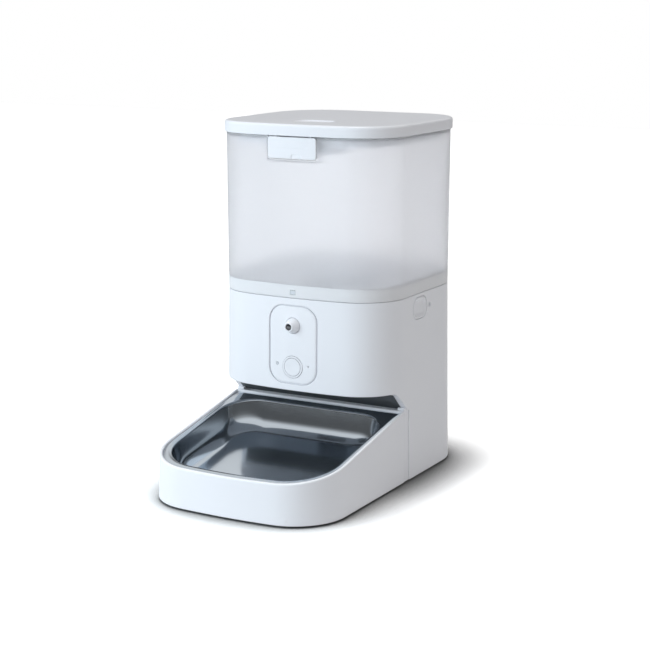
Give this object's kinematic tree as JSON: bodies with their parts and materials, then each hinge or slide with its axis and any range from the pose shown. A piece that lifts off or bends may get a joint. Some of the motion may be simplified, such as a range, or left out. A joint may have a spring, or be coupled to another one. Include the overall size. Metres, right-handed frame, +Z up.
{
  "type": "camera pet feeder",
  "caption": "Automatic dry-food feeder: frosted lift-off tank with latched lid, white housing with camera panel and rotor drive, pull-out tray with steel bowl.",
  "frame": {"origin": "on the floor, under the middle of the whole footprint", "axes": "+Z up, -Y to the front where the bowl is, +X to the right seen from the front"},
  "size_m": [0.1866, 0.3048, 0.336],
  "materials": {
    "white_shell": "satin moulded white plastic",
    "white_inner": "plain white plastic inside",
    "frosted_tank": "frosted translucent plastic",
    "steel_bowl": "polished stainless steel",
    "steel_hardware": "plain steel pins, shaft and springs",
    "zinc_screws": "zinc plated",
    "motor_metal": "drawn steel can",
    "brass_pinion": "machined brass",
    "grey_gears": "moulded grey plastic",
    "rotor_silicone": "soft grey silicone",
    "lid_seal": "pale silicone",
    "camera_glass": "dark coated lens",
    "dark_plastic": "black plastic",
    "light_pipe": "milky clear plastic",
    "circuit_board": "green lacquered board",
    "foot_rubber": "dark grey rubber"
  },
  "bodies": {
    "base": {"housing_shell": "white_shell", "front_panel": "white_shell", "camera_bezel": "white_shell", "camera_lens": "camera_glass", "camera_module": "dark_plastic", "button_ring": "white_shell", "feed_switch": "dark_plastic", "status_light": "light_pipe", "microphone": "dark_plastic", "control_board": "circuit_board", "speaker": "dark_plastic", "power_inlet": "dark_plastic", "base_plate": "white_shell", "base_screw_1": "zinc_screws", "base_screw_2": "zinc_screws", "base_screw_3": "zinc_screws", "base_screw_4": "zinc_screws", "base_foot_1": "foot_rubber", "base_foot_2": "foot_rubber", "base_foot_3": "foot_rubber", "base_foot_4": "foot_rubber", "metering_cup": "white_inner", "gear_motor": "motor_metal", "gear_plate": "grey_gears", "motor_screw_1": "zinc_screws", "motor_screw_2": "zinc_screws", "food_chute": "white_inner"},
    "tank": {"food_tank": "frosted_tank", "tank_level_window": "dark_plastic"},
    "lid": {"lid_shell": "white_shell", "lid_gasket": "lid_seal", "latch_pin": "steel_hardware", "desiccant_box": "white_inner"},
    "latch": {"lid_latch": "white_shell"},
    "desiccant_cover": {"desiccant_cover": "white_inner"},
    "feed_button": {"feed_button": "white_shell"},
    "release_left": {"release_button_left": "white_shell", "release_spring_left": "steel_hardware"},
    "release_right": {"release_button_right": "white_shell", "release_spring_right": "steel_hardware"},
    "rotor": {"portion_rotor": "rotor_silicone", "agitator": "white_inner", "rotor_shaft": "steel_hardware", "drive_gear": "grey_gears"},
    "pinion": {"motor_pinion": "brass_pinion"},
    "tray": {"tray_shell": "white_shell", "tray_foot_1": "foot_rubber", "tray_foot_2": "foot_rubber", "tray_foot_3": "foot_rubber", "tray_foot_4": "foot_rubber"},
    "bowl": {"steel_bowl": "steel_bowl"},
    "battery_door": {"battery_door": "white_shell"}
  },
  "joints": [
    {"name": "tank_lift", "type": "slide", "parent": "base", "child": "tank", "axis": [0, 0, 1], "range_m": [0, 0.12]},
    {"name": "lid_tilt", "type": "hinge", "parent": "tank", "child": "lid", "pos_m": [0, 0.15225, 0.3252], "axis": [-1, 0, 0], "range_deg": [0, 75]},
    {"name": "latch_swing", "type": "hinge", "parent": "lid", "child": "latch", "pos_m": [0, -0.02814, 0.3205], "axis": [-1, 0, 0], "range_deg": [0, 15]},
    {"name": "desiccant_cover_slide", "type": "slide", "parent": "lid", "child": "desiccant_cover", "axis": [0, 1, 0], "range_m": [0, 0.034]},
    {"name": "feed_press", "type": "slide", "parent": "base", "child": "feed_button", "axis": [0, 1, 0], "range_m": [0, 0.001], "stiffness_N_per_m": 500},
    {"name": "release_press_left", "type": "slide", "parent": "base", "child": "release_left", "axis": [1, 0, 0], "range_m": [0, 0.003], "stiffness_N_per_m": 500},
    {"name": "release_press_right", "type": "slide", "parent": "base", "child": "release_right", "axis": [-1, 0, 0], "range_m": [0, 0.003], "stiffness_N_per_m": 500},
    {"name": "rotor_spin", "type": "hinge", "parent": "base", "child": "rotor", "pos_m": [0, 0.05993, 0.15], "axis": [0, 0, 1], "continuous": true},
    {"name": "pinion_spin", "type": "hinge", "parent": "base", "child": "pinion", "pos_m": [0, 0.08393, 0.12], "axis": [0, 0, 1], "continuous": true},
    {"name": "tray_pull", "type": "slide", "parent": "base", "child": "tray", "axis": [0, -1, 0], "range_m": [0, 0.12]},
    {"name": "bowl_lift", "type": "slide", "parent": "tray", "child": "bowl", "axis": [0, 0, 1], "range_m": [0, 0.009]},
    {"name": "battery_door_slide", "type": "slide", "parent": "base", "child": "battery_door", "axis": [0, 1, 0], "range_m": [0, 0.105]}
  ],
  "couplings": [
    {"joint": "pinion_spin", "follows": "rotor_spin", "ratio": -1.6667}
  ]
}
